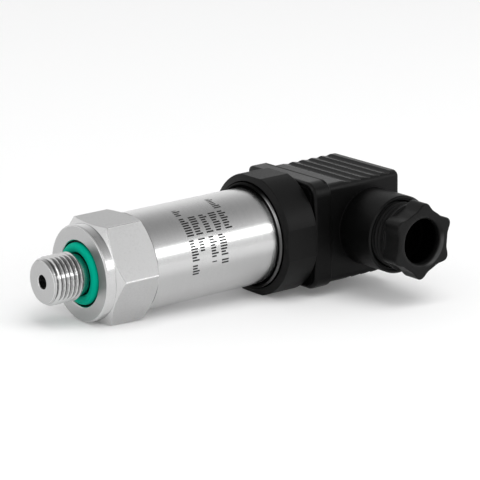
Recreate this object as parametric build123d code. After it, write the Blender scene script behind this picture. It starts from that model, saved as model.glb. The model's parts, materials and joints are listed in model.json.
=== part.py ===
"""Pressure transmitter: threaded steel port, round sensor housing and ribbed plug with a side cable gland.

Everything is drawn along +X from the port to the plug, round the axis of the port, with the collar's seal
face at x = 0 and the cable leaving along -Y.  At the end each piece is turned about Y by the same angle, so
that the body lies on one flat of its hexagon and on the lower flat of the plastic collar.
"""
from build123d import *
import math
import os

# Port and thread
thread_d = 13.157
thread_tip = 11.7
tip_chamfer = 0.8
tip_chamfer_length = 1.3
tip_edge = 0.2
neck_d = 11.2
neck_length = 2.2
port_d = 3.8
port_mouth_d = 4.6

# Face seal and the collar that carries it
seal_section = 2.7
seal_sunk = 0.45
seal_clearance = 0.15
groove_gap = 0.05
collar_d = 26.4
collar_length = 2.9
collar_chamfer = 0.4
groove_edge = 0.15

# Hexagon
hex_across_flats = 27.0
hex_length = 13.3
hex_chamfer_angle = 30.0
hex_back_chamfer = 0.1

# Pressure cell in its pocket
cell_d = 19.0
cell_length = 10.0
cell_clearance = 0.05
pocket_floor = 10.5
diaphragm_gap = 0.6
diaphragm_d = 15.0
cell_seal_section = 1.5
cell_seal_depth = 1.2
cell_seal_round = 0.4
cell_seal_place = 3.0
retainer_length = 2.6
retainer_bore = 13.0
pin_d = 0.8
pin_length = 3.0
pin_circle = 9.0
pin_count = 4

# Steel tube
tube_d = 27.2
tube_wall = 1.5
tube_end = 56.25
tube_fit = 0.05
spigot_length = 8.4
tube_neck_d = 24.8
tube_neck_length = 6.8
tube_neck_bore = 21.6
tube_shoulder = 2.5

# Amplifier board and carrier
board_width = 18.0
board_thickness = 1.6
carrier_room = 3.4
carrier_back_gap = 0.6
carrier_ring = 2.5
carrier_clearance = 0.15
board_slot_depth = 1.2
board_clearance = 0.1
carrier_rail = 1.6
carrier_rail_height = 4.0
lead_hole_d = 7.0
lead_hole_height = 5.6
lead_d = 0.9
lead_gap = 0.05
lead_pitch = 1.3
lead_landing = 3.6
pin_straight = 1.6
tag_straight = 1.4
hole_straight = 0.6
pin_bend = 0.8
tag_bend = 0.6

# Parts on the board
amplifier_length = 5.0
amplifier_width = 4.0
amplifier_height = 1.5
converter_size = 3.0
converter_height = 1.1
chip_row = 4.6
chip_spacing = 7.0
trimmer_length = 4.4
trimmer_width = 3.2
trimmer_height = 3.0
trimmer_row = 5.6
trimmer_spacing = 6.0
capacitor_d = 5.2
capacitor_length = 5.0

# Housing O-ring and plastic collar
ring_section = 2.6
ring_clearance = 0.05
base_reveal = 0.85
base_rim_bore = 30.2
base_cone_length = 0.75
base_d = 34.5
base_half_flat = 16.7
base_length = 10.4
base_floor = 2.5
base_edge = 0.2
socket_gap = 0.2
lead_room_d = 22.0

# Contact island, blades and screw insert
island_size = 21.6
island_height = 5.5
island_corner = 2.0
island_edge = 0.5
blade_angles = [90, 180, 270, 0]
blade_width = 6.3
blade_thickness = 0.8
blade_circle = 18.0
blade_reach = 11.0
blade_point = 0.25
blade_tag = 2.6
blade_fit = 0.02
screw_d = 2.9
insert_bore = 3.0
insert_d = 5.2
insert_length = 6.6
screw_point = 0.4

# Flat gasket
gasket_size = 28.2
gasket_thickness = 0.8
gasket_clearance = 0.1
gasket_corner = 2.5

# Plug hood
plug_gap = 0.1
lip_length = 5.9
lip_half_height = 15.3
lip_near = 15.2
lip_far = 14.8
lip_near_corner = 4.0
lip_far_corner = 1.6
lip_front_edge = 0.8
lip_back_edge = 0.5
hood_half_height = 14.2
hood_near = 14.6
hood_far = 14.2
hood_length = 25.25
hood_corner = 1.9
hood_edge = 1.2
rib_depth = 0.62
rib_pitch = 3.53
rib_front = 0.95
rib_edge = 0.15
first_valley = 7.55
narrow_ribs = 4
cavity_size = 24.0
cavity_corner = 2.2
back_wall = 2.2
screw_boss_d = 10.4
screw_boss_length = 6.4
screw_recess_d = 7.6
screw_recess_depth = 4.6
screw_clearance = 0.3

# Contact insert and clips in the hood
block_gap = 0.6
block_clearance = 0.15
entry_wall = 1.2
entry_clearance = 0.4
pocket_width = 7.4
pocket_depth = 3.2
clip_leaf = 0.5
clip_gap = 0.3
clip_bridge = 0.8
terminal_length = 4.4
terminal_depth = 3.6
terminal_width = 5.4
terminal_screw_d = 2.5
terminal_head_d = 4.4
terminal_head_height = 1.5
terminal_fit = 0.04

# Fixing screw and its washer
washer_bore = 3.3
washer_d = 6.8
washer_thickness = 0.8
head_d = 5.6
head_height = 2.2
head_dome = 1.0
head_crown_d = 4.0
cross_reach = 3.5
head_gap = 0.1
slot_width = 0.8
slot_depth = 1.0
screw_tip_gap = 0.5

# Gland boss
gland_place = 20.15
boss_d = 22.0
boss_edge = 0.4
boss_end = 27.4
boss_bore = 19.2
boss_floor = 16.0
boss_rim_d = 20.4
boss_rim_depth = 0.9
cable_hole_d = 10.4

# Gland nut
nut_thread_d = 18.6
nut_thread_pitch = 1.411
nut_thread_depth = 0.75
nut_thread_crest = 0.16
nut_thread_root = 0.24
nut_inner_end = 23.4
nut_head_start = 31.3
nut_shoulder_d = 19.0
nut_shoulder = 0.7
nut_end = 37.2
nut_half_flat = 8.95
nut_hollow_d = 15.8
nut_seat = 30.0
nut_bore_d = 12.6
nut_mouth_round = 1.3
lug_count = 6
lug_reach = 10.65
lug_width = 2.7
lug_round = 0.75
lug_blend = 0.5
lug_turn = -5.0
nut_edge = 0.35

# Grommet and thrust washer in the gland
grommet_d = 15.0
grommet_bore = 8.4
grommet_length = 9.0
thrust_d = 15.2
thrust_bore = 11.0
thrust_thickness = 1.0
thrust_gap = 0.1

# Values that follow from the sizes above
hex_end = collar_length + hex_length
hex_half = hex_across_flats / 2
chamfer_slope = math.tan(math.radians(hex_chamfer_angle))
hex_corner = hex_half / math.cos(math.radians(30))
seal_radius = neck_d / 2 + seal_clearance + seal_section / 2
seal_groove_d = 2 * (seal_radius + seal_section / 2 + 2 * seal_clearance)
seal_floor = seal_sunk + seal_section / 2 + groove_gap
tube_bore = tube_d - 2 * tube_wall
spigot_end = hex_end + spigot_length
cell_start = pocket_floor
cell_end = cell_start + cell_length
retainer_end = cell_end + retainer_length
tube_neck_end = tube_end + tube_neck_length
base_front = tube_end + base_reveal
base_back = base_front + base_length
socket_floor = tube_neck_end + socket_gap
island_end = base_back + island_height
blade_tip = island_end + blade_reach
gasket_end = base_back + gasket_thickness
plug_front = gasket_end + plug_gap
lip_back = plug_front + lip_length
hood_back = lip_back + hood_length
gland_x = plug_front + gland_place
cavity_back = hood_back - back_wall
recess_floor = hood_back - screw_recess_depth
block_start = island_end + block_gap
block_end = blade_tip + clip_gap + clip_bridge
carrier_start = spigot_end + carrier_room
carrier_end = tube_end - tube_shoulder - carrier_back_gap
board_start = carrier_start + carrier_ring - board_slot_depth
board_end = carrier_end - carrier_ring + board_slot_depth
board_length = board_end - board_start
board_middle = (board_start + board_end) / 2
board_top = board_thickness / 2
thrust_start = nut_seat - thrust_gap - thrust_thickness

# The body lies on the hexagon's chamfer edge and on the collar's lower flat
hex_contact = collar_length + (hex_half - collar_d / 2) * chamfer_slope
base_cone_slope = base_cone_length / (base_d / 2 - base_rim_bore / 2)
base_contact = base_front + (base_half_flat - base_rim_bore / 2) * base_cone_slope
lie_angle = math.degrees(math.atan2(base_half_flat - hex_half, base_contact - hex_contact))


def turned(*outline):
    """Solid of revolution round the port's axis, from (x, radius) points."""
    return revolve(make_face(Polyline(*outline, close=True)), axis=Axis.X)


def bar(x_from, x_to, diameter):
    """Round bar along the port's axis."""
    return Pos((x_from + x_to) / 2, 0, 0) * Rot(0, 90, 0) * Cylinder(diameter / 2, x_to - x_from)


def gland_bar(y_from, y_to, diameter):
    """Round bar along the gland's axis, between two depths measured towards -Y."""
    return Pos(gland_x, -(y_from + y_to) / 2, 0) * Rot(90, 0, 0) * Cylinder(diameter / 2, y_to - y_from)


def gland_turned(edges):
    """Solid of revolution round the gland's axis, from edges drawn in (radius, depth)."""
    half = make_face(edges)
    return Pos(gland_x, 0, 0) * revolve(half, axis=Axis.Y)


def block(x_from, x_to, width, height, corner=0.0, y_middle=0.0):
    """Prism along X with a rectangular section, rounded at its corners where a radius is given."""
    section = RectangleRounded(width, height, corner) if corner else Rectangle(width, height)
    return extrude(Plane.YZ.offset(x_from) * Pos(y_middle, 0) * section, x_to - x_from)


def ring(x_middle, radius, section):
    """O-ring round the port's axis."""
    return Pos(x_middle, 0, 0) * Rot(0, 90, 0) * Torus(radius, section / 2)


def make_process_fitting():
    """Turned and milled steel body: thread, neck, seal collar, hexagon, spigot and sensor pocket."""
    tip_r = thread_d / 2 - tip_chamfer
    collar_r = collar_d / 2
    body = turned(
        (-thread_tip, 0), (-thread_tip, tip_r), (-thread_tip + tip_chamfer_length, thread_d / 2),
        (-neck_length, thread_d / 2), (-neck_length, neck_d / 2), (seal_floor, neck_d / 2),
        (seal_floor, seal_groove_d / 2), (groove_edge, seal_groove_d / 2),
        (0, seal_groove_d / 2 + groove_edge), (0, collar_r - collar_chamfer), (collar_chamfer, collar_r),
        (collar_length, collar_r), (hex_end, collar_r), (hex_end, 0))
    thread_edges = body.edges().filter_by(GeomType.CIRCLE).group_by(Axis.X)
    body = fillet(thread_edges[0] + thread_edges[1], tip_edge)
    hexagon = extrude(Plane.YZ.offset(collar_length) * RegularPolygon(hex_corner, 6), hex_length)
    cone_reach = hex_corner + 1
    cone = turned(
        (collar_length, 0), (collar_length, collar_r),
        (collar_length + (cone_reach - collar_r) * chamfer_slope, cone_reach),
        (hex_end - (cone_reach - hex_half + hex_back_chamfer) * chamfer_slope, cone_reach),
        (hex_end, hex_half - hex_back_chamfer), (hex_end, 0))
    spigot = bar(hex_end, spigot_end, tube_bore - 2 * tube_fit)
    body = body + (hexagon & cone) + spigot
    port_r = port_d / 2
    mouth = (port_mouth_d - port_d) / 2
    passage = turned(
        (-thread_tip, 0), (-thread_tip, port_r + mouth), (-thread_tip + mouth, port_r),
        (pocket_floor - diaphragm_gap, port_r), (pocket_floor - diaphragm_gap, diaphragm_d / 2),
        (pocket_floor, diaphragm_d / 2), (pocket_floor, cell_d / 2 + cell_clearance),
        (spigot_end, cell_d / 2 + cell_clearance), (spigot_end, 0))
    return body - passage


def make_sensor_cell():
    """Steel cell with a groove for its O-ring and glass-sealed pins."""
    seat = cell_start + cell_seal_place
    cell_r = cell_d / 2
    cell = turned(
        (cell_start, 0), (cell_start, cell_r), (seat, cell_r), (seat, cell_r - cell_seal_depth),
        (seat + cell_seal_section + 2 * cell_clearance, cell_r - cell_seal_depth),
        (seat + cell_seal_section + 2 * cell_clearance, cell_r), (cell_end, cell_r), (cell_end, 0))
    for spot in PolarLocations(pin_circle / 2, pin_count, start_angle=45):
        y, z = spot.position.X, spot.position.Y
        cell += Pos(0, y, z) * bar(cell_end, cell_end + pin_length, pin_d)
    return cell


def make_sensor_seal():
    """Flattened O-ring between the cell's groove and the pocket wall."""
    seat = cell_start + cell_seal_place + cell_clearance
    inner, outer = cell_d / 2 - cell_seal_depth, cell_d / 2 + cell_clearance
    face = Plane.XY * Pos(seat + cell_seal_section / 2, (inner + outer) / 2)
    return revolve(face * RectangleRounded(cell_seal_section, outer - inner, cell_seal_round), axis=Axis.X)


def make_sensor_retainer():
    """Ring screwed in behind the cell."""
    outer = cell_d - 2 * cell_clearance
    return bar(cell_end, retainer_end, outer) - bar(cell_end, retainer_end, retainer_bore)


def make_housing_tube():
    """Steel tube, thickened at its end and turned down to a neck for the plastic base."""
    tube_r, bore_r = tube_d / 2, tube_bore / 2
    neck_r, neck_bore_r = tube_neck_d / 2, tube_neck_bore / 2
    return turned(
        (hex_end, bore_r), (hex_end, tube_r), (tube_end, tube_r), (tube_end, neck_r),
        (tube_neck_end, neck_r), (tube_neck_end, neck_bore_r), (tube_end - tube_shoulder, neck_bore_r),
        (tube_end - tube_shoulder, bore_r))


def make_board_carrier():
    """Moulded cage: two rings that fit the tube, joined by rails along the board's edges."""
    ring_d = tube_bore - 2 * carrier_clearance
    front = bar(carrier_start, carrier_start + carrier_ring, ring_d)
    back = bar(carrier_end - carrier_ring, carrier_end, ring_d)
    rail_y = board_width / 2 + board_clearance + carrier_rail / 2
    middle = (carrier_start + carrier_end) / 2
    cage = front + back
    for side in (-1, 1):
        cage += Pos(middle, side * rail_y, 0) * Box(
            carrier_end - carrier_start, carrier_rail, carrier_rail_height)
    slot = Pos(board_middle, 0, 0) * Box(
        board_length + 2 * board_clearance, board_width + 2 * board_clearance,
        board_thickness + 2 * board_clearance)
    lead_hole = Pos(0, 0, lead_hole_height) * bar(carrier_start, carrier_end, lead_hole_d)
    return cage - slot - lead_hole


def make_circuit_board():
    """Amplifier board."""
    return Pos(board_middle, 0, 0) * Box(board_length, board_width, board_thickness)


def make_board_parts():
    """Parts soldered to the board: an amplifier, a converter, two trimmers and a round capacitor."""
    amplifier = Box(amplifier_length, amplifier_width, amplifier_height)
    converter = Box(converter_size, converter_size, converter_height)
    trimmer = Box(trimmer_length, trimmer_width, trimmer_height)
    return [
        Pos(board_middle - chip_spacing / 2, -chip_row, board_top + amplifier_height / 2) * amplifier,
        Pos(board_middle + chip_spacing / 2, -chip_row, board_top + converter_height / 2) * converter,
        Pos(board_middle - trimmer_spacing / 2, trimmer_row, board_top + trimmer_height / 2) * trimmer,
        Pos(board_middle + trimmer_spacing / 2, trimmer_row, board_top + trimmer_height / 2) * trimmer,
        Pos(board_middle, 0, -board_top - capacitor_length / 2) * Cylinder(capacitor_d / 2, capacitor_length)]


def wire(points, bend):
    """Insulated wire along straight runs joined by arcs."""
    path = FilletPolyline(*points, radius=bend)
    section = Plane(origin=path @ 0, z_dir=path % 0) * Circle(lead_d / 2)
    return sweep(section, path=path)


def make_sensor_leads():
    """Wires from the cell's pins through the carrier's hole to the board."""
    wires = []
    pin_end = cell_end + pin_length + lead_gap
    for index, spot in enumerate(PolarLocations(pin_circle / 2, pin_count, start_angle=45)):
        y, z = spot.position.X, spot.position.Y
        lane = (index - (pin_count - 1) / 2) * lead_pitch
        landing = board_start + lead_landing
        wires.append(wire([
            (pin_end, y, z), (pin_end + pin_straight, y, z), (carrier_start, lane, lead_hole_height),
            (landing, lane, lead_hole_height), (landing, lane, board_top + lead_gap)], pin_bend))
    return wires


def make_connector_leads():
    """Wires from the board through the carrier's hole to the tags of the blades."""
    wires = []
    tag_front = socket_floor + base_floor - blade_tag - lead_gap
    for index, angle in enumerate(blade_angles):
        y = blade_circle / 2 * math.cos(math.radians(angle))
        z = blade_circle / 2 * math.sin(math.radians(angle))
        lane = (index - (len(blade_angles) - 1) / 2) * lead_pitch
        launch = board_end - lead_landing
        wires.append(wire([
            (launch, lane, board_top + lead_gap), (launch, lane, lead_hole_height),
            (carrier_end + hole_straight, lane, lead_hole_height), (tag_front - tag_straight, y, z),
            (tag_front, y, z)], tag_bend))
    return wires


def make_connector_base():
    """Plastic collar with four flats, a socket for the tube's neck and a raised contact island."""
    base_r, rim_r = base_d / 2, base_rim_bore / 2
    groove_floor = tube_end + ring_section + ring_clearance
    socket_r = tube_neck_d / 2 + tube_fit
    collar = turned(
        (base_front, rim_r), (base_front + base_cone_length, base_r), (base_back, base_r), (base_back, 0),
        (socket_floor + base_floor, 0), (socket_floor + base_floor, lead_room_d / 2),
        (socket_floor, lead_room_d / 2), (socket_floor, socket_r), (groove_floor, socket_r),
        (groove_floor, rim_r))
    collar &= block(base_front, base_back, 2 * base_half_flat, 2 * base_half_flat)
    outer_rim = collar.faces().filter_by(GeomType.CONE).sort_by(Axis.X)[0].edges()
    collar = fillet(outer_rim, base_edge)
    island = block(base_back, island_end, island_size, island_size, island_corner)
    base = collar + fillet(island.faces().sort_by(Axis.X)[-1].edges(), island_edge)
    for angle in blade_angles:
        base -= blade(angle, blade_fit, island_end)
    return base - bar(island_end - insert_length - blade_fit, island_end, insert_d + 2 * blade_fit)


def blade(angle, grow=0.0, tip=blade_tip):
    """Flat blade whose width lies along the contact circle, grown all round for its slot."""
    start = socket_floor + base_floor - blade_tag
    strip = Pos((start + tip) / 2, blade_circle / 2, 0) * Box(
        tip - start, blade_thickness + 2 * grow, blade_width + 2 * grow)
    if grow == 0:
        strip = chamfer(strip.faces().sort_by(Axis.X)[-1].edges(), blade_point)
    return Rot(angle, 0, 0) * strip


def make_contact_blades():
    """The three live contacts."""
    return [blade(angle) for angle in blade_angles[:-1]]


def make_earth_blade():
    """The earth contact."""
    return blade(blade_angles[-1])


def make_base_insert():
    """Brass insert in the island, with the bore that the fixing screw turns in."""
    front = island_end - insert_length
    return bar(front, island_end, insert_d) - bar(front, island_end, insert_bore)


def make_flange_gasket():
    """Flat gasket round the contact island."""
    window = island_size + 2 * gasket_clearance
    plate = block(base_back, gasket_end, gasket_size, gasket_size, gasket_corner)
    return plate - block(base_back, gasket_end, window, window, island_corner)


def rib_outline():
    """Edges of the hood's side view: grip ribs above and below, each scooped in front with a gentle back."""
    start = lip_back - lip_back_edge
    low, high = hood_half_height - rib_depth, hood_half_height
    valleys = [lip_back + first_valley + rib_pitch * count for count in range(narrow_ribs + 1)]
    edges = [Line((start, -high), (start, high)), Line((hood_back, high), (hood_back, -high))]
    for side in (1, -1):
        crest = valleys[0] - rib_pitch + rib_front
        edges.append(Line((start, side * high), (crest, side * high)))
        for valley in valleys:
            edges.append(Line((crest, side * high), (valley, side * low)))
            crest = valley + rib_front
            edges.append(TangentArc((valley, side * low), (crest, side * high),
                                    tangent=(rib_pitch - rib_front, -side * rib_depth)))
        edges.append(Line((crest, side * high), (hood_back, side * high)))
    return edges


def rib_crests(ribbed):
    """Sharp top edges of the grip ribs, above and below."""
    first = lip_back + first_valley + rib_front
    across = ribbed.edges().filter_by(Axis.Y)
    across = across.filter_by_position(Axis.X, first - rib_edge, hood_back - rib_edge)
    return [edge for edge in across if abs(edge.center().Z) > hood_half_height - rib_depth / 2]


def make_plug_housing():
    """Moulded hood: lip, ribbed body, gland boss, cavity and the recess for the fixing screw."""
    lip_middle = (lip_far - lip_near) / 2
    lip = block(plug_front, lip_back, lip_near + lip_far, 2 * lip_half_height, y_middle=lip_middle)
    lip = fillet(lip.edges().filter_by(Axis.X).group_by(Axis.Y)[0], lip_near_corner)
    lip = fillet(lip.edges().filter_by(Axis.X).group_by(Axis.Y)[-1], lip_far_corner)
    lip = fillet(lip.faces().sort_by(Axis.X)[0].edges(), lip_front_edge)
    lip = fillet(lip.faces().sort_by(Axis.X)[-1].edges(), lip_back_edge)
    width = hood_near + hood_far
    hood_middle = (hood_far - hood_near) / 2
    ribbed = extrude(Plane.XZ.offset(hood_near) * make_face(rib_outline()), -width)
    ribbed = fillet(rib_crests(ribbed), rib_edge)
    case = block(lip_back - lip_back_edge, hood_back, width, 2 * hood_half_height, hood_corner, hood_middle)
    case = fillet(case.faces().sort_by(Axis.X)[-1].edges(), hood_edge)
    hood = lip + (ribbed & case) + gland_bar(hood_near - 1, boss_end, boss_d)
    hood -= block(plug_front, cavity_back, cavity_size, cavity_size, cavity_corner)
    hood += bar(recess_floor - (screw_boss_length - screw_recess_depth), cavity_back, screw_boss_d)
    hood -= bar(recess_floor, hood_back, screw_recess_d)
    hood -= bar(plug_front, hood_back, screw_d + 2 * screw_clearance)
    hood -= gland_bar(boss_floor, boss_end, boss_bore)
    hood -= gland_bar(boss_end - boss_rim_depth, boss_end, boss_rim_d)
    hood -= gland_bar(cavity_size / 2 - 1, boss_floor, cable_hole_d)
    rim = hood.edges().filter_by(GeomType.CIRCLE).group_by(Axis.Y)[0]
    return chamfer(rim.sort_by(SortBy.RADIUS)[-1], boss_edge)


def clip_pocket(angle, x_from, x_to, depth, width):
    """Rectangular hole along X on the contact circle."""
    hole = Pos((x_from + x_to) / 2, blade_circle / 2, 0) * Box(x_to - x_from, depth, width)
    return Rot(angle, 0, 0) * hole


def make_contact_insert():
    """Insulating block with an entry slot and a clip pocket for each blade."""
    size = cavity_size - 2 * block_clearance
    body = block(block_start, block_end, size, size, cavity_corner)
    body -= bar(block_start, block_end, screw_d + 3 * screw_clearance)
    for angle in blade_angles:
        body -= clip_pocket(angle, block_start, block_start + entry_wall,
                            blade_thickness + 2 * entry_clearance, blade_width + 2 * entry_clearance)
        body -= clip_pocket(angle, block_start + entry_wall, block_end, pocket_depth, pocket_width)
    return body


def clip(angle):
    """Spring clip: two leaves round the blade, a bridge and a terminal block with a screw hole."""
    leaf_start = block_start + entry_wall + clip_gap
    bridge_start, bridge_end = block_end - clip_bridge, block_end
    leaf_y = blade_thickness / 2 + clip_gap + clip_leaf / 2
    width = pocket_width - 2 * clip_gap
    body = Pos((bridge_start + bridge_end) / 2, 0, 0) * Box(clip_bridge, 2 * leaf_y + clip_leaf, width)
    for side in (-1, 1):
        body += Pos((leaf_start + bridge_end) / 2, side * leaf_y, 0) * Box(
            bridge_end - leaf_start, clip_leaf, width)
    body += Pos(bridge_end + terminal_length / 2, 0, 0) * Box(terminal_length, terminal_depth, terminal_width)
    hole = terminal_screw_d + 2 * terminal_fit
    body -= bar(bridge_end, bridge_end + terminal_length, hole)
    return Rot(angle, 0, 0) * Pos(0, blade_circle / 2, 0) * body


def make_terminal_clips():
    """Four clips, one for each blade."""
    return [clip(angle) for angle in blade_angles]


def make_terminal_screws():
    """Slotted clamping screws, one in each terminal block."""
    seat = block_end + terminal_length
    head_end = seat + terminal_head_height
    screw = bar(block_end + terminal_fit, seat, terminal_screw_d) + bar(seat, head_end, terminal_head_d)
    screw -= Pos(head_end, 0, 0) * Box(slot_depth, slot_width, terminal_head_d)
    return [Rot(angle, 0, 0) * Pos(0, blade_circle / 2, 0) * screw for angle in blade_angles]


def make_screw_washer():
    """Sealing washer on the floor of the hood's recess."""
    washer = bar(recess_floor, recess_floor + washer_thickness, washer_d)
    return washer - bar(recess_floor, recess_floor + washer_thickness, washer_bore)


def make_fixing_screw():
    """Central screw with a domed, cross-slotted head."""
    seat = recess_floor + washer_thickness + head_gap
    head_end = seat + head_height
    tip = island_end - insert_length + screw_tip_gap
    head_r = head_d / 2
    shape = turned((tip, 0), (tip, screw_d / 2 - screw_point), (tip + screw_point, screw_d / 2),
                   (seat, screw_d / 2), (seat, head_r), (head_end - head_dome, head_r),
                   (head_end, head_crown_d / 2), (head_end, 0))
    cross = Box(2 * slot_depth, slot_width, cross_reach) + Box(2 * slot_depth, cross_reach, slot_width)
    return shape - Pos(head_end, 0, 0) * cross


def make_gland_grommet():
    """Rubber cable seal on the floor of the boss."""
    end = boss_floor + grommet_length
    return gland_bar(boss_floor, end, grommet_d) - gland_bar(boss_floor, end, grommet_bore)


def make_gland_washer():
    """Thrust washer between the nut and the grommet."""
    end = thrust_start + thrust_thickness
    return gland_bar(thrust_start, end, thrust_d) - gland_bar(thrust_start, end, thrust_bore)


def nut_head_outline():
    """Hexagon with a rounded lug at each corner, centred on the gland's axis."""
    corner = nut_half_flat / math.cos(math.radians(30))
    depth = lug_reach - nut_half_flat + 1.5
    outline = RegularPolygon(corner, lug_count)
    for place in PolarLocations(lug_reach - depth / 2, lug_count):
        outline += place * RectangleRounded(depth, lug_width, lug_round)
    from_middle = sorted(outline.vertices(), key=lambda vertex: math.hypot(vertex.X, vertex.Y))
    return fillet(from_middle[:2 * lug_count], lug_blend)


def make_gland_nut():
    """Nut with a threaded shank, a round shoulder and a lugged head with a rounded mouth."""
    crest, root = nut_thread_d / 2, nut_thread_d / 2 - nut_thread_depth
    turns = int((nut_head_start - nut_shoulder - nut_inner_end) / nut_thread_pitch)
    half_crest, half_root = nut_thread_crest * nut_thread_pitch / 2, nut_thread_root * nut_thread_pitch / 2
    outline = [(0, -nut_inner_end), (root, -nut_inner_end)]
    for turn in range(turns):
        near = nut_inner_end + turn * nut_thread_pitch
        middle, far = near + nut_thread_pitch / 2, near + nut_thread_pitch
        outline += [(root, -(near + half_root)), (crest, -(middle - half_crest)),
                    (crest, -(middle + half_crest)), (root, -(far - half_root))]
    shoulder, inside_head = nut_head_start - nut_shoulder, nut_head_start + nut_edge
    outline += [(root, -shoulder), (nut_shoulder_d / 2, -shoulder), (nut_shoulder_d / 2, -inside_head),
                (0, -inside_head)]
    shank = gland_turned(Polyline(*outline, close=True))
    head = Plane.XZ * Rot(0, 0, 90 + lug_turn) * nut_head_outline()
    head = extrude(Pos(gland_x, -nut_head_start, 0) * head, nut_end - nut_head_start)
    head = chamfer(head.faces().sort_by(Axis.Y)[0].edges(), nut_edge)
    nut = shank + head - gland_bar(nut_inner_end, nut_seat, nut_hollow_d)
    nut -= gland_bar(nut_seat - 1, nut_end, nut_bore_d)
    bore_r, mouth_start = nut_bore_d / 2, nut_end - nut_mouth_round
    bulge = nut_mouth_round * (1 - math.sqrt(0.5))
    mouth = [
        ThreePointArc((bore_r, -mouth_start), (bore_r + bulge, -(nut_end - bulge)),
                      (bore_r + nut_mouth_round, -nut_end)),
        Line((bore_r + nut_mouth_round, -nut_end), (bore_r - 1, -nut_end)),
        Line((bore_r - 1, -nut_end), (bore_r - 1, -mouth_start)),
        Line((bore_r - 1, -mouth_start), (bore_r, -mouth_start))]
    return nut - gland_turned(mouth)


def laid(shape):
    """Turns a piece from the drawing axis to the way the transmitter lies."""
    return Rot(0, -lie_angle, 0) * shape


def save(node, shape):
    """Writes one piece, or a group of like pieces, to its own file."""
    solids = shape if isinstance(shape, list) else [shape]
    laid_solids = [laid(solid) for piece in solids for solid in piece.solids()]
    whole = laid_solids[0] if len(laid_solids) == 1 else Compound(children=laid_solids)
    export_step(whole, f"parts/{node}.step")


os.makedirs("parts", exist_ok=True)
save("process_fitting", make_process_fitting())
save("port_seal_ring", ring(seal_sunk, seal_radius, seal_section))
save("sensor_cell", make_sensor_cell())
save("sensor_seal", make_sensor_seal())
save("sensor_retainer", make_sensor_retainer())
save("housing_tube", make_housing_tube())
save("board_carrier", make_board_carrier())
save("circuit_board", make_circuit_board())
save("board_parts", make_board_parts())
save("sensor_leads", make_sensor_leads())
save("connector_leads", make_connector_leads())
save("housing_seal_ring", ring(tube_end + ring_section / 2, tube_neck_d / 2 + ring_section / 2, ring_section))
save("connector_base", make_connector_base())
save("base_insert", make_base_insert())
save("contact_blades", make_contact_blades())
save("earth_blade", make_earth_blade())
save("flange_gasket", make_flange_gasket())
save("plug_housing", make_plug_housing())
save("contact_insert", make_contact_insert())
save("terminal_clips", make_terminal_clips())
save("terminal_screws", make_terminal_screws())
save("gland_grommet", make_gland_grommet())
save("gland_washer", make_gland_washer())
save("gland_nut", make_gland_nut())
save("screw_washer", make_screw_washer())
save("fixing_screw", make_fixing_screw())
print(f"lies at {lie_angle:.3f} degrees")
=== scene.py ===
"""Looks of a pressure transmitter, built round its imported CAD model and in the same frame.

Sizes of the transmitter are millimetres along the axis of the port, as in the CAD source.  laid() turns them to
the way it lies and scales them to metres.  The camera, the lamps and the floor are given in metres of the frame.
"""
import json
import math

import bpy
import numpy as np
from mathutils import Matrix, Vector

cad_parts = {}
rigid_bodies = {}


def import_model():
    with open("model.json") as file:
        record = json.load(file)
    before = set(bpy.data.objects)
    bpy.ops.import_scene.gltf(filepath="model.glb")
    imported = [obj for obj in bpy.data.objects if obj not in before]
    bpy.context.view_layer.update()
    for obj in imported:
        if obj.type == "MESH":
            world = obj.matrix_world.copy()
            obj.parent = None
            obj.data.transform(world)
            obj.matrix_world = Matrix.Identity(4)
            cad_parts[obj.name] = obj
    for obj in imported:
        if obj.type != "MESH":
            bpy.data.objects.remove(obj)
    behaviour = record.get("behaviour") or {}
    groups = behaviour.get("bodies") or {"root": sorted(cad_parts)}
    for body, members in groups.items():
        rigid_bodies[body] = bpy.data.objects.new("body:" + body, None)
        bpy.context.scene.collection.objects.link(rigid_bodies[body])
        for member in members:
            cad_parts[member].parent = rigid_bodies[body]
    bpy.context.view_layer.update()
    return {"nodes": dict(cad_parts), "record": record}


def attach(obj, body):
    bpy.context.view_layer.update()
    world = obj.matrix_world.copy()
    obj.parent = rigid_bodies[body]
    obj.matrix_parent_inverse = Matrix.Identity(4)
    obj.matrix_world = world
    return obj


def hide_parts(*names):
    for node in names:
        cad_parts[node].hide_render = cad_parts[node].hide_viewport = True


for thing in list(bpy.data.objects):
    bpy.data.objects.remove(thing)
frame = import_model()

# How the transmitter lies, from the axis of its port in the record
port_axis = frame["record"]["mounts"][0]["axis"]
tilt = math.atan2(-port_axis[2], -port_axis[0])

# Camera, fitted to the outlines in the photograph
camera_azimuth = -38.07
camera_elevation = 13.776
camera_roll = 1.624
camera_distance = 0.700
camera_aim = (0.045304, -0.010813, 0.005694)
camera_lens = 193.55
sensor_width = 36.0

# Port, thread and face seal
thread_tip = 11.7
tip_chamfer = 0.8
tip_chamfer_length = 1.3
tip_edge = 0.2
thread_r = 6.5785
tip_r = thread_r - tip_chamfer
thread_pitch = 1.337
thread_depth = 0.86
thread_flat = 1.3
thread_step = 0.06
runout_slope = 1.2
neck_length = 2.2
neck_r = 5.6
port_r = 1.9
groove_r = 8.95
groove_floor = 1.85
groove_chamfer = 0.3
collar_r = 13.2
collar_length = 2.9
collar_chamfer = 0.4

# Hexagon and the spigot behind it.  The rounding of a corner reaches hex_corner_reach degrees to each side
hex_half = 13.5
hex_end = 16.2
hex_back_r = 13.4
hex_corner_round = 0.25
hex_corner_reach = 0.56
chamfer_slope = math.tan(math.radians(30))
spigot_r = 12.05
spigot_end = 24.6
pocket_r = 9.55
pocket_floor = 10.5
diaphragm_r = 7.5
diaphragm_floor = 9.9

# Roundings of the fitting's edges
turned_edge = 0.15
collar_edge = 0.12
hex_front_edge = 0.18
spigot_edge = 0.3

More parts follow.
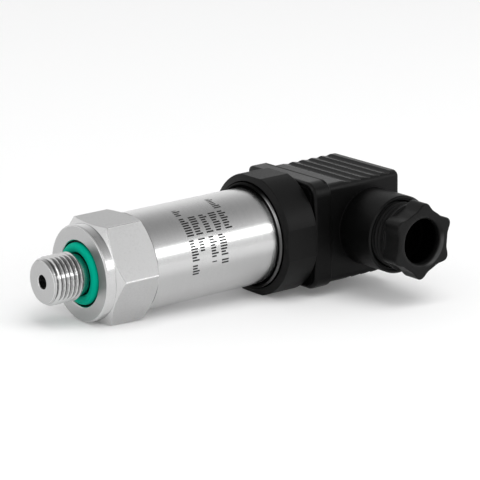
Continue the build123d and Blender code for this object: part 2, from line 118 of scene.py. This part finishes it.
# Rim of the collar round the tube, and the glossy ring inside it
base_rim_r = 15.1
tube_end = 56.25
tube_r = 13.6
ring_inner_r = 12.45
ring_back = 58.8
crown_x = 56.95
crown_r = 14.32
crown_round = 0.58
ring_edge = 0.1

# Lip and near side of the hood
lip_back = 74.3
hood_side = 14.6

# Gland nut, measured out of the port's axis, and its six lugs
gland_x = 88.55
nut_inner_end = 23.4
nut_shoulder_start = 30.6
nut_head_start = 31.3
nut_end = 37.2
nut_seat = 30.0
nut_pitch = 1.411
nut_thread_flat = 1.25
nut_thread_step = 0.07
nut_lead_slope = 1.5
nut_root_r = 8.55
nut_crest_r = 9.3
nut_shoulder_r = 9.5
nut_hollow_r = 7.9
nut_bore_r = 6.3
nut_mouth_round = 1.3
nut_side_r = 8.88
lug_r = 10.72
lug_spread = 12.4
lug_angle = 24.3
lug_flatness = 2.1

# Studio: how the light of the walls falls with height
wall_fall = (0.3, 1.15, 1.0, 0.18)

# Floor, in metres, under the lowest edges of the hexagon and the collar, and the light it adds where it is seen
floor_height = -0.013297
floor_reach = 4.0
floor_lift = 0.09

# Laser marking on the tube, as rows of plain dashes: place along the tube and start and end angle.  The margin and
# the gap are shares of a dash's step and of a word
marking_rows = [(28.65, 72, -13), (31.65, 60, 13), (35.15, 60, -2), (38.35, 60, -6), (41.45, 82, 32)]
marking_height = 2.3
dash_pitch = 3.2
dash_margin = 0.2
dashes_per_word = 9.0
word_gap = 0.1


def laid(points):
    """Points in millimetres along the port's axis, as points of the frame in metres."""
    points = np.asarray(points, float) / 1000
    c, s = math.cos(tilt), math.sin(tilt)
    x, y, z = points[..., 0], points[..., 1], points[..., 2]
    return np.stack([x * c - z * s, y, x * s + z * c], -1)


def arc_of_corner(before, corner, after, size, steps=4):
    """Points that round the corner of a section, starting and ending this far from it."""
    def leg(end):
        run = end - corner
        length = np.linalg.norm(run, axis=-1, keepdims=True)
        return corner + run / np.maximum(length, 1e-9) * np.minimum(size, length * 0.45)
    start, stop = leg(before), leg(after)
    points = []
    for step in range(steps + 1):
        t = step / steps
        points.append((1 - t) ** 2 * start + 2 * t * (1 - t) * corner + t ** 2 * stop)
    return points


def round_port(x, across, up):
    """Places points that turn round the port's axis, from their place along it."""
    return laid(np.stack([x, across, up], -1))


def round_gland(out, across, up):
    """Places points that turn round the cable gland's axis, from their distance out of the port's axis."""
    return laid(np.stack([gland_x + across, -out, up], -1))


def round_angles(count):
    """Angles of a full turn, in equal steps."""
    return np.linspace(0, 2 * math.pi, count, endpoint=False)


def thread_wave(turn, flat):
    """Rounded section of a thread, from -1 in its root to 1 on its crest, each wider as flat rises above 1."""
    sharpness = 0.95
    return np.clip(np.arcsin(sharpness * np.cos(turn)) / math.asin(sharpness) * flat, -1, 1)


def closed_lathe(name, angles, section, place=round_port):
    """Mesh of a closed section, given for every angle, carried round an axis.

    section is a list of (values along the axis, radii, size of the rounding), each a number or one per angle.
    """
    count = len(angles)
    corners = [np.stack([np.broadcast_to(x, count), np.broadcast_to(r, count)], -1) for x, r, _ in section]
    rows = []
    for index, (_, _, size) in enumerate(section):
        if size:
            rows += arc_of_corner(corners[index - 1], corners[index], corners[(index + 1) % len(section)], size)
        else:
            rows.append(corners[index])
    grid = np.array(rows)
    points = place(grid[..., 0], grid[..., 1] * np.cos(angles), grid[..., 1] * np.sin(angles))
    high = len(rows)
    faces = []
    for row in range(high):
        above = (row + 1) % high
        for column in range(count):
            beside = (column + 1) % count
            faces.append((row * count + column, row * count + beside,
                          above * count + beside, above * count + column))
    return mesh_piece(name, points.reshape(-1, 3), faces)


def mesh_piece(name, points, faces, sharp=32):
    """Object from points and faces in metres, smooth except at edges sharper than the given angle."""
    mesh = bpy.data.meshes.new(name)
    mesh.from_pydata([tuple(p) for p in points], [], faces)
    mesh.validate()
    mesh.update()
    mesh.shade_smooth()
    mesh.set_sharp_from_angle(angle=math.radians(sharp))
    piece = bpy.data.objects.new(name, mesh)
    bpy.context.scene.collection.objects.link(piece)
    piece.modifiers.new("flat faces stay flat", "WEIGHTED_NORMAL").keep_sharp = True
    return piece


class Value:
    """A socket in a material, so that shader maths reads as Python."""

    def __init__(self, tree, socket):
        self.tree = tree
        self.socket = socket

    def maths(self, operation, *others):
        node = self.tree.nodes.new("ShaderNodeMath")
        node.operation = operation
        for slot, value in zip(node.inputs, (self, *others)):
            give(self.tree, slot, value)
        return Value(self.tree, node.outputs[0])

    def __add__(self, other):
        return self.maths("ADD", other)

    def __mul__(self, other):
        return self.maths("MULTIPLY", other)

    def __sub__(self, other):
        return self.maths("SUBTRACT", other)

    def __rsub__(self, other):
        return (self * -1.0) + other

    def __truediv__(self, other):
        return self.maths("DIVIDE", other)

    __radd__ = __add__

    def above(self, limit):
        return self.maths("GREATER_THAN", limit)

    def below(self, limit):
        return self.maths("LESS_THAN", limit)

    def ramp(self, low, high, to_low=0.0, to_high=1.0):
        """Smooth change from to_low to to_high as this value goes from low to high."""
        node = self.tree.nodes.new("ShaderNodeMapRange")
        node.interpolation_type = "SMOOTHSTEP"
        for slot, value in zip(node.inputs, (self, low, high, to_low, to_high)):
            give(self.tree, slot, value)
        return Value(self.tree, node.outputs[0])


def give(tree, socket, value):
    """Links a value to a socket, or sets a plain number or colour on it."""
    if isinstance(value, Value):
        tree.links.new(value.socket, socket)
    elif socket.type == "RGBA" and len(value) == 3:
        socket.default_value = (*value, 1.0)
    else:
        socket.default_value = value


def parts_of(tree, vector):
    """The x, y and z of a vector."""
    apart = tree.nodes.new("ShaderNodeSeparateXYZ")
    give(tree, apart.inputs[0], vector)
    return [Value(tree, part) for part in apart.outputs]


class Finish:
    """A material under one name, made of nodes."""

    def __init__(self, name, **shader):
        self.material = bpy.data.materials.new(name)
        self.material.use_nodes = True
        self.tree = self.material.node_tree
        self.tree.nodes.clear()
        self.output = self.tree.nodes.new("ShaderNodeOutputMaterial")
        self.shader = self.tree.nodes.new("ShaderNodeBsdfPrincipled")
        self.tree.links.new(self.shader.outputs[0], self.output.inputs[0])
        self.set(**shader)

    def set(self, **inputs):
        """Gives the shader its values, by the socket's name in lower case with underscores."""
        for name, value in inputs.items():
            give(self.tree, self.shader.inputs[socket_name(self.shader, name)], value)

    def given(self, name):
        """What the shader's input of this name is linked to."""
        return Value(self.tree, self.shader.inputs[socket_name(self.shader, name)].links[0].from_socket)

    def node(self, kind, settings=None, output=0, **inputs):
        """Adds a node, sets it up, then gives its inputs their values or links."""
        node = self.tree.nodes.new(kind)
        for name, value in (settings or {}).items():
            setattr(node, name, value)
        for name, value in inputs.items():
            give(self.tree, node.inputs[socket_name(node, name)], value)
        return Value(self.tree, node.outputs[output])

    def place(self):
        """Place in the object's own coordinates, in metres."""
        return self.node("ShaderNodeTexCoord", output=3)

    def along_axis(self):
        """Place along the port's axis, distance from it and angle round it, in millimetres and degrees."""
        turned = self.node("ShaderNodeVectorRotate", {"rotation_type": "Y_AXIS"}, vector=self.place(), angle=tilt)
        x, y, z = (part * 1000.0 for part in parts_of(self.tree, turned))
        radius = (y * y + z * z).maths("SQRT")
        angle = z.maths("ARCTAN2", y * -1.0) * math.degrees(1.0)
        return x, radius, angle

    def noise(self, vector, scale, detail=2.0, roughness=0.5):
        return self.node("ShaderNodeTexNoise", vector=vector, scale=scale, detail=detail, roughness=roughness)

    def vector(self, x, y, z):
        return self.node("ShaderNodeCombineXYZ", x=x, y=y, z=z)

    def blend(self, mask, first, second):
        """Colour that goes from the first to the second as the mask rises."""
        node = self.tree.nodes.new("ShaderNodeMix")
        node.data_type = "RGBA"
        for slot, value in zip((node.inputs[0], node.inputs[6], node.inputs[7]), (mask, first, second)):
            give(self.tree, slot, value)
        return Value(self.tree, node.outputs[2])

    def bump(self, height, strength, distance, edge=0.0):
        """Small relief, and edges softened to the given radius, in metres."""
        inputs = {"normal": self.node("ShaderNodeBevel", {"samples": 4}, radius=edge)} if edge else {}
        relief = self.node("ShaderNodeBump", height=height, strength=strength, distance=distance, **inputs)
        self.set(normal=relief)


def socket_name(node, name):
    """The input of a node whose name matches, whatever its capitals and spaces."""
    for socket in node.inputs:
        if socket.name.lower().replace(" ", "_") == name and socket.enabled:
            return socket.name
    raise KeyError(f"{node.bl_idname} has no input {name}")


def grey(level):
    return (level, level, level)


def turned_steel(name, colour, roughness, groove=0.5):
    """Stainless steel with the fine rings that a lathe leaves."""
    steel = Finish(name, metallic=1.0)
    x, radius, angle = steel.along_axis()
    fine = steel.noise(steel.vector(x * 9.0, radius * 9.0, angle * 0.012), 1.0, detail=3.0, roughness=0.65)
    broad = steel.noise(steel.vector(x * 1.3, radius * 1.3, angle * 0.02), 1.0, detail=2.0)
    place = steel.place()
    patch = steel.noise(place, 90.0, detail=3.0)
    grain = steel.noise(place, 3200.0, detail=2.0, roughness=0.6)
    shade = 0.66 + fine * 0.2 + broad * 0.08 + patch * 0.04 + grain * 0.36
    steel.set(base_color=steel.blend(shade, grey(0.0), colour),
              roughness=roughness + (fine - 0.5) * 0.08 + (patch - 0.5) * 0.05)
    steel.bump(fine + broad * 0.6, groove, 0.00002)
    return steel


def make_tube_steel():
    """Turned steel with the rows of the laser marking, and painted shade that makes it a little darker along its
    lower front.
    """
    steel = turned_steel("marked tube steel", grey(0.61), 0.18)
    x, _, angle = steel.along_axis()
    cell = (angle / dash_pitch).maths("FLOOR")
    across = (angle / dash_pitch).maths("FRACT")
    word = (angle / dash_pitch / dashes_per_word).maths("FRACT")
    mask = None
    for line, (place, start, stop) in enumerate(marking_rows):
        spot = steel.vector(cell, line * 7.0, 0.0)
        chance = steel.node("ShaderNodeTexWhiteNoise", {"noise_dimensions": "2D"}, vector=spot)
        height = (x - (place - marking_height / 2)) / marking_height
        # Each dash fills from two thirds to the whole of its row's height
        dashes = height.above(0.0) * height.below(chance.ramp(0.3, 0.7, 0.66, 1.0))
        dashes = dashes * across.above(dash_margin) * across.below(1.0 - dash_margin) * word.above(word_gap)
        dashes = dashes * angle.below(start) * angle.above(stop)
        mask = dashes if mask is None else mask.maths("MAXIMUM", dashes)
    # Painted shade: the tube's colour is darkened along its lower front, from about -54 to 2 degrees round the axis
    low_front_shade = angle.ramp(-54.0, -34.0) * angle.ramp(-10.0, 2.0, 1.0, 0.0) * 0.19
    shaded_colour = steel.blend(low_front_shade, steel.given("base_color"), grey(0.0))
    steel.set(base_color=steel.blend(mask, shaded_colour, grey(0.004)), metallic=1.0 - mask)
    return steel


def make_thread_steel():
    """Bright cut thread, its colour darkened in its roots as painted shade."""
    steel = turned_steel("thread steel", grey(0.60), 0.1, groove=0.15)
    radius = steel.along_axis()[1]
    # Painted shade: the colour darkens towards the thread's roots, below the second radius
    shaded_root_r, full_tone_r = 5.75, 6.1
    steel.set(base_color=steel.blend(radius.ramp(shaded_root_r, full_tone_r), grey(0.22), steel.given("base_color")))
    return steel


def make_ground_flats(name, colour, roughness):
    """Steel of the drawn hexagon bar, matt, with fine scratches across the flats and burnished corners."""
    steel = Finish(name, metallic=1.0)
    x, radius, angle = steel.along_axis()
    place = steel.place()
    scratch = steel.noise(steel.vector(x * 6.0, angle * 0.35, radius * 0.3), 1.0, detail=4.0, roughness=0.7)
    grain = steel.noise(place, 2200.0, detail=3.0, roughness=0.7)
    cloud = steel.noise(place, 110.0, detail=3.0)
    shade = 0.61 + scratch * 0.2 + grain * 0.42 + cloud * 0.14
    from_flat = ((angle / 60.0).maths("FRACT") - 0.5).maths("ABSOLUTE")
    # Burnished within 0.6 degrees of a corner, and not beyond 1.3
    corner = from_flat.ramp(0.5 - 1.3 / 60, 0.5 - 0.6 / 60)
    steel.set(base_color=steel.blend(corner, steel.blend(shade, grey(0.0), colour), grey(0.66)),
              roughness=roughness + (scratch - 0.5) * 0.12 + (cloud - 0.5) * 0.12 - corner * 0.15)
    steel.bump(scratch + grain * 0.8, 0.6, 0.00003)
    return steel


def make_rubber(name, colour, roughness, specular=0.5):
    """Rubber or soft plastic with a fine speckle."""
    rubber = Finish(name, specular_ior_level=specular)
    place = rubber.place()
    speckle = rubber.noise(place, 1500.0, detail=2.0)
    cloud = rubber.noise(place, 120.0, detail=3.0)
    rubber.set(base_color=rubber.blend(0.82 + cloud * 0.3, grey(0.0), colour),
               roughness=roughness + (speckle - 0.5) * 0.12 + (cloud - 0.5) * 0.08)
    rubber.bump(speckle, 0.25, 0.00002)
    return rubber


def make_ring_rubber():
    """Black rubber of the ring at the tube's end, wiped glossy on its crown."""
    rubber = make_rubber("black ring rubber", grey(0.002), 0.3, specular=0.03)
    _, radius, angle = rubber.along_axis()
    crown = radius.ramp(crown_r - crown_round, crown_r - 0.2)
    front = angle.ramp(48.0, 68.0, 1.0, 0.0) * angle.ramp(-75.0, -40.0, 0.0, 0.35)
    above = angle.ramp(5.0, 30.0) * angle.ramp(48.0, 60.0, 0.65, 0.0)
    rubber.set(coat_weight=crown * (front + above), coat_roughness=0.16, coat_ior=3.0)
    return rubber


def make_nylon(name, colour, roughness, specular=0.22):
    """Black glass-filled nylon with the fine grain of a spark-eroded mould."""
    nylon = Finish(name, specular_ior_level=specular)
    place = nylon.place()
    grain = nylon.noise(place, 2600.0, detail=3.0, roughness=0.7)
    cloud = nylon.noise(place, 60.0, detail=4.0)
    nylon.set(base_color=nylon.blend(0.3 + cloud * 0.5 + grain * 0.9, grey(0.0), colour),
              roughness=roughness + (grain - 0.5) * 0.3 + (cloud - 0.5) * 0.1)
    nylon.bump(grain, 0.6, 0.00004, edge=0.00025)
    return nylon


def paint_shade(nylon, mask):
    """Paints shade: makes the surface dull and black where the mask is 1, as painted shade inside a hole, and
    duller as the mask rises.
    """
    black = nylon.tree.nodes.new("ShaderNodeBsdfDiffuse")
    give(nylon.tree, black.inputs["Color"], grey(0.0005))
    mix = nylon.tree.nodes.new("ShaderNodeMixShader")
    give(nylon.tree, mix.inputs[0], mask)
    nylon.tree.links.new(nylon.shader.outputs[0], mix.inputs[1])
    nylon.tree.links.new(black.outputs[0], mix.inputs[2])
    nylon.tree.links.new(mix.outputs[0], nylon.output.inputs[0])


def round_entry(finish):
    """Distance out towards the gland, distance from its axis and angle round it, in millimetres and degrees."""
    entry = next(mount["pos_m"] for mount in frame["record"]["mounts"] if mount["name"] == "cable_entry")
    x, y, z = parts_of(finish.tree, finish.place())
    across, up = x - entry[0], z - entry[2]
    radius = (across * across + up * up).maths("SQRT") * 1000.0
    angle = up.maths("ARCTAN2", across) * math.degrees(1.0)
    return y * -1000.0, radius, angle


def make_nut_nylon():
    """Nylon of the gland nut, with painted shade black inside its bore, and rubbed glossy on one side of its mouth.
    """
    nylon = make_nylon("nut nylon", grey(0.0045), 0.4, 0.14)
    out, radius, angle = round_entry(nylon)
    mouth = radius.ramp(nut_bore_r + 0.1, nut_bore_r + 0.5)
    mouth = mouth * radius.ramp(nut_bore_r + 1.0, nut_bore_r + 1.5, 1.0, 0.0)
    rubbed = angle.ramp(-85.0, -55.0) * angle.ramp(-5.0, 20.0, 1.0, 0.0) * out.above(nut_end - 1.6)
    nylon.set(coat_weight=mouth * rubbed * 0.8, coat_roughness=0.3, coat_ior=1.6)
    # Painted shade: dull black inside the bore, fading out towards the mouth
    paint_shade(nylon, radius.below(nut_bore_r + 0.6) * out.ramp(nut_end - 2.6, nut_end - 1.2, 1.0, 0.0))
    return nylon


def make_hood_nylon():
    """Nylon of the hood, with painted shade that makes it duller on the side with the gland's boss and on the lip's
    near side, and a painted shadow along the lip's back edge.
    """
    nylon = make_nylon("hood nylon", grey(0.002), 0.4, 0.28)
    out = round_entry(nylon)[0]
    x, _, angle = nylon.along_axis()
    # Painted shade on the near side with the gland's boss, and on the lip's near side
    side = out.ramp(hood_side - 0.9, hood_side - 0.2, 0.0, 0.42)
    lip = out.above(hood_side + 0.1) * x.below(lip_back + 0.3) * 0.5
    on_top = angle.above(47.0) * angle.below(133.0)
    # Painted shadow: a dark band on top along the lip's back edge
    lip_back_shadow = x.ramp(lip_back - 1.4, lip_back - 1.0) * x.below(lip_back + 0.2) * on_top * 0.6
    paint_shade(nylon, side.maths("MAXIMUM", lip).maths("MAXIMUM", lip_back_shadow))
    return nylon


def make_collar_nylon():
    """Nylon of the square collar, with painted shade black in the recess round the tube."""
    nylon = make_nylon("collar nylon", grey(0.0045), 0.45, 0.13)
    radius = nylon.along_axis()[1]
    # Painted shade: dull black in the recess inside the rim, round the tube
    paint_shade(nylon, radius.ramp(base_rim_r - 0.1, base_rim_r + 0.1, 1.0, 0.0))
    return nylon


def make_plated(name, colour, roughness):
    """Plated or tinned metal with a faint cloudy finish."""
    metal = Finish(name, metallic=1.0)
    place = metal.place()
    cloud = metal.noise(place, 400.0, detail=4.0)
    metal.set(base_color=metal.blend(0.85 + cloud * 0.25, grey(0.0), colour),
              roughness=roughness + (cloud - 0.5) * 0.2)
    metal.bump(cloud, 0.1, 0.00002)
    return metal


def make_board(name):
    """Solder mask with a weave beneath it."""
    board = Finish(name, roughness=0.3)
    place = board.place()
    weave = board.node("ShaderNodeTexChecker", vector=place, scale=1600.0, output=1)
    cloud = board.noise(place, 200.0)
    board.set(base_color=board.blend(0.7 + weave * 0.15 + cloud * 0.3, grey(0.0), (0.02, 0.16, 0.06)))
    return board


def fitting_angles():
    """Angles round the fitting, closer together where the hexagon's corners are rounded."""
    corners = np.radians(np.arange(0, 360, 60))
    near = np.radians([-0.9, -0.55, -0.37, -0.18, 0.18, 0.37, 0.55, 0.9])
    extra = (corners[:, None] + near).ravel() % (2 * math.pi)
    return np.unique(np.round(np.concatenate([round_angles(192), extra]), 6))


def hexagon_radii(angles):
    """Distance from the axis to the sides of the hexagon, with rounded corners."""
    from_flat = angles % math.radians(60) - math.radians(30)
    flat = hex_half / np.cos(from_flat)
    from_corner = math.radians(30) - np.abs(from_flat)
    centre = (hex_half - hex_corner_round) / math.cos(math.radians(30))
    inside = np.maximum(hex_corner_round ** 2 - (centre * np.sin(from_corner)) ** 2, 0)
    arc = centre * np.cos(from_corner) + np.sqrt(inside)
    return np.where(from_corner < math.radians(hex_corner_reach), np.minimum(flat, arc), flat)


def port_thread(angles):
    """Section along the port's thread, from its chamfered start to its runout."""
    rows = []
    for x in np.arange(-thread_tip + tip_edge, -neck_length - 0.05, thread_step):
        wave = thread_wave(2 * math.pi * x / thread_pitch + angles, thread_flat)
        crest = thread_r - thread_depth / 2 + thread_depth / 2 * wave
        cone = tip_r + (x + thread_tip) * tip_chamfer / tip_chamfer_length
        runout = neck_r + (-neck_length - x) * runout_slope
        rows.append((x, np.minimum(np.minimum(crest, cone), np.maximum(runout, neck_r)), 0))
    return rows


def fitting_finish(x, r, along):
    """Which of the fitting's finishes a face has, by its place and how far it faces along the axis."""
    turned, ground, cut, faced, shaded = range(5)
    if x > collar_length and r > hex_back_r - 0.1 and abs(along) < 0.3:
        return ground
    if -thread_tip + tip_edge < x < -neck_length and r > neck_r - 0.1:
        return cut
    if x < 0.1 and along < -0.95:
        return faced
    # Painted shade: the neck beside the ring and the groove's floor and wall take the dark steel
    if -0.5 < x < groove_floor + 0.1 and neck_r - 0.1 < r < groove_r - 0.05:
        return shaded
    if groove_chamfer + 0.05 < x < groove_floor + 0.1 and neck_r < r < groove_r + 0.1:
        return shaded
    if -0.01 < x < groove_chamfer + 0.05 and groove_r - 0.05 < r < groove_r + groove_chamfer + 0.05:
        return cut
    return turned


def make_fitting(turned, ground, cut, faced, shaded):
    """Threaded port, seal collar and hexagon, in place of the plain turned body."""
    angles = fitting_angles()
    hex_r = hexagon_radii(angles)
    front_x = collar_length + (hex_r - collar_r) * chamfer_slope
    back_x = hex_end - (hex_r - hex_back_r) * chamfer_slope
    section = [(diaphragm_floor, port_r, 0), (-thread_tip, port_r, 0.35), (-thread_tip, tip_r - 0.02, tip_edge)]
    section += port_thread(angles)
    section += [
        (-neck_length, neck_r, 0), (-0.5, neck_r, 0),
        (groove_floor, neck_r, turned_edge), (groove_floor, groove_r, turned_edge),
        (groove_chamfer, groove_r, 0.05), (0, groove_r + groove_chamfer, 0.05),
        (0, collar_r - collar_chamfer, collar_edge), (collar_chamfer, collar_r, collar_edge),
        (collar_length, collar_r, 0), (front_x, hex_r, hex_front_edge),
        (back_x, hex_r, turned_edge), (hex_end, hex_back_r, 0.1), (hex_end, spigot_r, 0),
        (spigot_end, spigot_r, spigot_edge), (spigot_end, pocket_r, spigot_edge), (pocket_floor, pocket_r, 0),
        (pocket_floor, diaphragm_r, 0), (diaphragm_floor, diaphragm_r, 0)]
    piece = closed_lathe("threaded_fitting", angles, section)
    for finish in (turned, ground, cut, faced, shaded):
        piece.data.materials.append(finish.material)
    axis = Vector((math.cos(tilt), 0, math.sin(tilt)))
    for face in piece.data.polygons:
        x, r = face.center.dot(axis) * 1000, face.center.cross(axis).length * 1000
        face.material_index = fitting_finish(x, r, face.normal.dot(axis))
    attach(piece, "transmitter")
    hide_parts("process_fitting")


def make_nut(nylon):
    """Gland nut with a helical thread and six lugs that run out into its sides."""
    angles = round_angles(240)
    from_lug = (np.degrees(angles) - lug_angle + 30) % 60 - 30
    head_r = nut_side_r + (lug_r - nut_side_r) * np.exp(-np.abs(from_lug / lug_spread) ** lug_flatness)
    section = [(nut_inner_end, nut_hollow_r, 0.2), (nut_inner_end, nut_root_r, 0)]
    for out in np.arange(nut_inner_end + 0.1, nut_shoulder_start - 0.05, nut_thread_step):
        wave = thread_wave(2 * math.pi * out / nut_pitch - angles, nut_thread_flat)
        thread = nut_root_r + (nut_crest_r - nut_root_r) * (wave + 1) / 2
        lead = nut_root_r + (out - nut_inner_end) * nut_lead_slope
        section.append((out, np.minimum(thread, lead), 0))
    section += [
        (nut_shoulder_start, nut_root_r, 0), (nut_shoulder_start, nut_shoulder_r, 0.15),
        (nut_head_start, nut_shoulder_r, 0.1), (nut_head_start, head_r, 0.45), (nut_end, head_r, 0.4),
        (nut_end, nut_bore_r, nut_mouth_round), (nut_seat, nut_bore_r, 0), (nut_seat, nut_hollow_r, 0)]
    piece = closed_lathe("lugged_nut", angles, section, round_gland)
    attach(piece, "gland_nut")
    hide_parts("gland_nut")
    piece.data.materials.append(nylon.material)


def make_ring(rubber):
    """Ring between the tube's end and the collar, with a narrow crown that stands proud of the tube."""
    front = tube_end + 0.02
    turn = np.radians(np.linspace(180, 10, 9))
    crown = [(crown_x + crown_round * math.cos(a), crown_r + crown_round * math.sin(a), 0) for a in turn]
    section = [
        (front, ring_inner_r, ring_edge), (front, tube_r - 0.3, ring_edge),
        (crown_x, crown_r - crown_round - 0.02, 0), *crown,
        (ring_back, crown_r, ring_edge), (ring_back, ring_inner_r, ring_edge)]
    piece = closed_lathe("crowned_ring", round_angles(180), section)
    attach(piece, "transmitter")
    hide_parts("housing_seal_ring")
    piece.data.materials.append(rubber.material)


def make_camera():
    """Camera at the photograph's viewing angle."""
    lens = bpy.data.cameras.new("camera")
    lens.lens = camera_lens
    lens.sensor_width = sensor_width
    lens.clip_start, lens.clip_end = 0.01, 20
    camera = bpy.data.objects.new("camera", lens)
    azimuth, elevation, roll = (math.radians(a) for a in (camera_azimuth, camera_elevation, camera_roll))
    back = Vector((math.sin(azimuth) * math.cos(elevation), -math.cos(azimuth) * math.cos(elevation),
                   math.sin(elevation)))
    right = Vector((math.cos(azimuth), math.sin(azimuth), 0))
    up = back.cross(right)
    right, up = (right * math.cos(roll) + up * math.sin(roll), up * math.cos(roll) - right * math.sin(roll))
    turn = Matrix((right, up, back)).transposed()
    camera.matrix_world = Matrix.Translation(Vector(camera_aim) + back * camera_distance) @ turn.to_4x4()
    bpy.context.scene.collection.objects.link(camera)
    bpy.context.scene.camera = camera


def direction(azimuth, elevation):
    """Unit vector towards a direction: azimuth 0 is -Y and 90 is +X."""
    a, e = math.radians(azimuth), math.radians(elevation)
    return Vector((math.sin(a) * math.cos(e), -math.cos(a) * math.cos(e), math.sin(e)))


def softbox(name, azimuth, elevation, distance, width, height, radiance, glossy=True):
    """Area lamp that faces the transmitter and isn't seen by the camera."""
    lamp = bpy.data.lights.new(name, "AREA")
    lamp.shape = "RECTANGLE"
    lamp.size, lamp.size_y = width, height
    lamp.energy = radiance * math.pi * width * height
    box = bpy.data.objects.new(name, lamp)
    out = direction(azimuth, elevation)
    box.location = Vector(camera_aim) + out * distance
    box.rotation_mode = "QUATERNION"
    box.rotation_quaternion = out.to_track_quat("Z", "Y")
    box.visible_camera = False
    box.visible_glossy = glossy
    bpy.context.scene.collection.objects.link(box)


def seen_directly(tree):
    """1 for rays from the camera, and for those that metal and glass send on, else 0."""
    rays = tree.nodes.new("ShaderNodeLightPath")
    camera, glossy, through = (Value(tree, rays.outputs[name]) for name in (
        "Is Camera Ray", "Is Glossy Ray", "Is Transmission Ray"))
    return camera.maths("MAXIMUM", glossy).maths("MAXIMUM", through)


def make_floor():
    """Pale floor that keeps the shadow and shows white where nothing shades it."""
    corners = ((-1, -1), (1, -1), (1, 1), (-1, 1))
    points = [(x * floor_reach, y * floor_reach, floor_height) for x, y in corners]
    floor = mesh_piece("floor", points, [(0, 1, 2, 3)])
    paper = Finish("floor paper", base_color=grey(0.86), roughness=0.9, specular_ior_level=0.1,
                   emission_strength=1.0)
    paper.set(emission_color=paper.blend(seen_directly(paper.tree), grey(0.0), grey(floor_lift)))
    floor.data.materials.append(paper.material)


def make_world():
    """Studio of white walls under a grey ceiling, and plain white where it is seen beside the object."""
    world = bpy.data.worlds.new("studio")
    bpy.context.scene.world = world
    world.use_nodes = True
    tree = world.node_tree
    tree.nodes.clear()
    output = tree.nodes.new("ShaderNodeOutputWorld")
    background = tree.nodes.new("ShaderNodeBackground")
    tree.links.new(background.outputs[0], output.inputs[0])
    coordinate = tree.nodes.new("ShaderNodeTexCoord")
    height = parts_of(tree, Value(tree, coordinate.outputs["Generated"]))[2]
    rays = tree.nodes.new("ShaderNodeLightPath")
    to_camera = Value(tree, rays.outputs["Is Camera Ray"])
    walls = height.ramp(*wall_fall)
    give(tree, background.inputs[0], grey(1.0))
    give(tree, background.inputs[1], walls * (1.0 - to_camera) + to_camera)


def dress(node, finish):
    """Gives a CAD node its finish."""
    mesh = frame["nodes"][node].data
    mesh.materials.clear()
    mesh.materials.append(finish.material)


make_camera()
make_world()
softbox("key softbox", azimuth=41, elevation=22.5, distance=0.9, width=0.55, height=0.22, radiance=2.6)
softbox("left softbox", azimuth=-98, elevation=7, distance=0.9, width=0.45, height=0.22, radiance=1.4)
softbox("high front softbox", azimuth=-32, elevation=40, distance=0.9, width=0.3, height=0.25, radiance=2.0)
softbox("overhead softbox", azimuth=0, elevation=70, distance=2.0, width=1.5, height=1.5, radiance=2.9,
        glossy=False)
make_floor()

make_fitting(turned=turned_steel("turned steel", grey(0.62), 0.2),
             ground=make_ground_flats("ground hexagon steel", grey(0.515), 0.41),
             cut=make_thread_steel(),
             faced=turned_steel("faced steel", grey(0.48), 0.36),
             # Dark steel for the painted shade in the groove and on the neck beside the ring
             shaded=turned_steel("painted shade groove steel", grey(0.03), 0.4))
dress("housing_tube", make_tube_steel())
inner_steel = turned_steel("inner steel", (0.55, 0.55, 0.54), 0.3)
green = make_rubber("green seal rubber", (0.0, 0.40, 0.265), 0.45, specular=0.02)
tin = make_plated("tinned brass", (0.66, 0.66, 0.63), 0.3)
zinc = make_plated("zinc plate", (0.6, 0.61, 0.63), 0.28)
finishes = {
    "sensor_cell": inner_steel, "sensor_retainer": inner_steel, "port_seal_ring": green,
    "sensor_seal": make_rubber("cell seal rubber", (0.012, 0.012, 0.013), 0.3),
    "flange_gasket": make_rubber("gasket rubber", grey(0.001), 0.7, specular=0.03),
    "gland_grommet": make_rubber("grommet rubber", grey(0.001), 0.7, specular=0.05),
    "screw_washer": make_rubber("washer rubber", (0.012, 0.012, 0.012), 0.5),
    "connector_base": make_collar_nylon(),
    "plug_housing": make_hood_nylon(),
    "board_carrier": make_nylon("carrier nylon", (0.014, 0.014, 0.015), 0.45),
    "contact_insert": make_nylon("insert nylon", (0.014, 0.014, 0.015), 0.42),
    "circuit_board": make_board("solder mask"),
    "board_parts": make_nylon("chip plastic", (0.03, 0.03, 0.03), 0.4),
    "sensor_leads": make_rubber("lead insulation", (0.5, 0.05, 0.03), 0.4),
    "connector_leads": make_rubber("plug lead insulation", (0.5, 0.05, 0.03), 0.4),
    "base_insert": make_plated("insert brass", (0.72, 0.5, 0.2), 0.3),
    "contact_blades": tin, "earth_blade": tin, "terminal_clips": tin,
    "terminal_screws": zinc, "fixing_screw": zinc,
    "gland_washer": make_plated("blackened washer", grey(0.003), 0.7),
}
make_nut(make_nut_nylon())
make_ring(make_ring_rubber())
for node, finish in finishes.items():
    dress(node, finish)

scene = bpy.context.scene
scene.view_settings.view_transform = "Standard"
